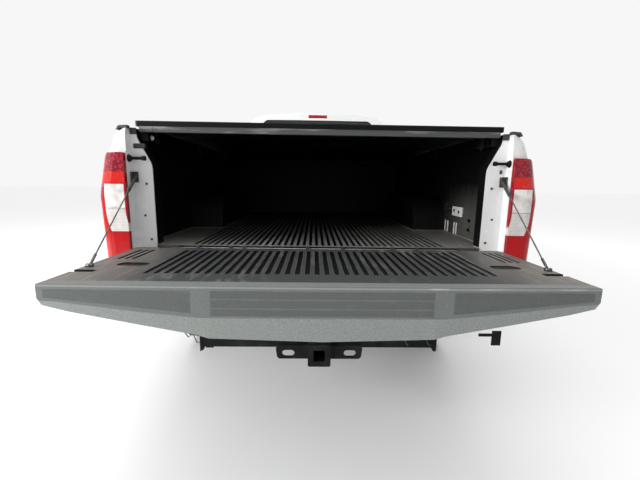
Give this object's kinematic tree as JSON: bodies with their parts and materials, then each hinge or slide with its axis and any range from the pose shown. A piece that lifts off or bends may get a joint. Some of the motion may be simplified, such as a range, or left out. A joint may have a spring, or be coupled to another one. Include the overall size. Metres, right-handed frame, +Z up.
{
  "type": "pickup truck",
  "caption": "White heavy-duty crew cab pickup truck with its tailgate down, a ribbed black bed liner, a folding bed cover and a tow receiver.",
  "frame": {"origin": "on the ground, under the middle of the whole length and width", "axes": "+Y forward, +X to the truck's right, +Z up"},
  "size_m": [2.664, 6.745, 2.0522],
  "materials": {
    "paint": "gloss white",
    "glass": "tinted",
    "mirror_glass": "polished",
    "lens": "clear lens",
    "red_lens": "red lens with clear panel",
    "chrome": "polished",
    "liner": "ribbed black, scuffed",
    "grey_plastic": "grained dark grey",
    "black_plastic": "grained black",
    "cover": "satin black",
    "steel": "bare",
    "spring_steel": "dusty black",
    "chassis": "waxy black",
    "cast": "dark, dusty",
    "tyre": "rubber",
    "alloy": "painted silver",
    "exhaust_steel": "heat-stained",
    "radiator_metal": "dull",
    "cloth": "grey cloth"
  },
  "bodies": {
    "truck": {"cab_body": "paint", "cab_glass": "glass", "front_wings": "paint", "headlamps": "lens", "grille": "chrome", "front_bumper": "chrome", "bed_side_right": "paint", "bed_side_left": "paint", "bed_floor": "paint", "wheelhouses": "paint", "bed_liner": "liner", "tail_lamps": "red_lens", "tailgate_cables": "steel", "cover_rails": "chassis", "cover_front": "cover", "frame": "chassis", "tow_receiver": "chassis", "rear_axle": "cast", "leaf_springs": "spring_steel", "front_axle": "cast", "coil_springs": "spring_steel", "engine": "cast", "propshafts": "steel", "exhaust": "exhaust_steel", "fuel_tank": "black_plastic", "radiator": "radiator_metal", "dashboard": "grey_plastic", "front_seats": "cloth", "rear_seat": "cloth", "steering_wheel": "black_plastic", "running_boards": "black_plastic"},
    "front_door_right": {"front_door_right": "paint", "front_door_glass_right": "glass", "mirror_right": "black_plastic", "mirror_glass_right": "mirror_glass"},
    "front_door_left": {"front_door_left": "paint", "front_door_glass_left": "glass", "mirror_left": "black_plastic", "mirror_glass_left": "mirror_glass"},
    "rear_door_right": {"rear_door_right": "paint", "rear_door_glass_right": "glass"},
    "rear_door_left": {"rear_door_left": "paint", "rear_door_glass_left": "glass"},
    "hood": {"hood": "paint"},
    "tailgate": {"tailgate": "paint", "tailgate_liner": "liner", "tailgate_cap": "grey_plastic"},
    "cover_middle": {"cover_middle": "cover"},
    "cover_rear": {"cover_rear": "cover"},
    "knuckle_right": {"knuckle_right": "cast"},
    "wheel_front_right": {"tyre_front_right": "tyre", "rim_front_right": "alloy"},
    "wheel_rear_right": {"tyre_rear_right": "tyre", "rim_rear_right": "alloy"},
    "knuckle_left": {"knuckle_left": "cast"},
    "wheel_front_left": {"tyre_front_left": "tyre", "rim_front_left": "alloy"},
    "wheel_rear_left": {"tyre_rear_left": "tyre", "rim_rear_left": "alloy"}
  },
  "joints": [
    {"name": "front_door_right_hinge", "type": "hinge", "parent": "truck", "child": "front_door_right", "pos_m": [0.999, 1.6485, 1], "axis": [0, 0, 1], "range_deg": [0, 65]},
    {"name": "rear_door_right_hinge", "type": "hinge", "parent": "truck", "child": "rear_door_right", "pos_m": [0.999, 0.515, 1], "axis": [0, 0, 1], "range_deg": [0, 65]},
    {"name": "front_door_left_hinge", "type": "hinge", "parent": "truck", "child": "front_door_left", "pos_m": [-0.999, 1.6485, 1], "axis": [0, 0, -1], "range_deg": [0, 65]},
    {"name": "rear_door_left_hinge", "type": "hinge", "parent": "truck", "child": "rear_door_left", "pos_m": [-0.999, 0.515, 1], "axis": [0, 0, -1], "range_deg": [0, 65]},
    {"name": "hood_hinge", "type": "hinge", "parent": "truck", "child": "hood", "pos_m": [0, 1.88, 1.41], "axis": [1, 0, 0], "range_deg": [0, 50]},
    {"name": "tailgate_hinge", "type": "hinge", "parent": "truck", "child": "tailgate", "pos_m": [0, -2.7835, 0.915], "axis": [-1, 0, 0], "range_deg": [0, 90], "deforming": ["tailgate_cables"]},
    {"name": "cover_middle_hinge", "type": "hinge", "parent": "truck", "child": "cover_middle", "pos_m": [0, -1.375, 1.54], "axis": [-1, 0, 0], "range_deg": [0, 90]},
    {"name": "cover_rear_hinge", "type": "hinge", "parent": "cover_middle", "child": "cover_rear", "pos_m": [0, -2.1055, 1.52], "axis": [-1, 0, 0], "range_deg": [0, 180]},
    {"name": "steer_right", "type": "hinge", "parent": "truck", "child": "knuckle_right", "pos_m": [0.745, 2.3975, 0.415], "axis": [0, 0, 1], "range_deg": [-33, 33]},
    {"name": "wheel_front_right_spin", "type": "hinge", "parent": "knuckle_right", "child": "wheel_front_right", "pos_m": [0.8675, 2.3975, 0.415], "axis": [1, 0, 0], "continuous": true},
    {"name": "wheel_rear_right_spin", "type": "hinge", "parent": "truck", "child": "wheel_rear_right", "pos_m": [0.8535, -1.6625, 0.415], "axis": [1, 0, 0], "continuous": true},
    {"name": "steer_left", "type": "hinge", "parent": "truck", "child": "knuckle_left", "pos_m": [-0.745, 2.3975, 0.415], "axis": [0, 0, 1], "range_deg": [-33, 33]},
    {"name": "wheel_front_left_spin", "type": "hinge", "parent": "knuckle_left", "child": "wheel_front_left", "pos_m": [-0.8675, 2.3975, 0.415], "axis": [1, 0, 0], "continuous": true},
    {"name": "wheel_rear_left_spin", "type": "hinge", "parent": "truck", "child": "wheel_rear_left", "pos_m": [-0.8535, -1.6625, 0.415], "axis": [1, 0, 0], "continuous": true}
  ],
  "couplings": [
    {"joint": "steer_left", "follows": "steer_right", "ratio": 1},
    {"joint": "cover_middle_hinge", "follows": "cover_rear_hinge", "ratio": 0.5}
  ]
}
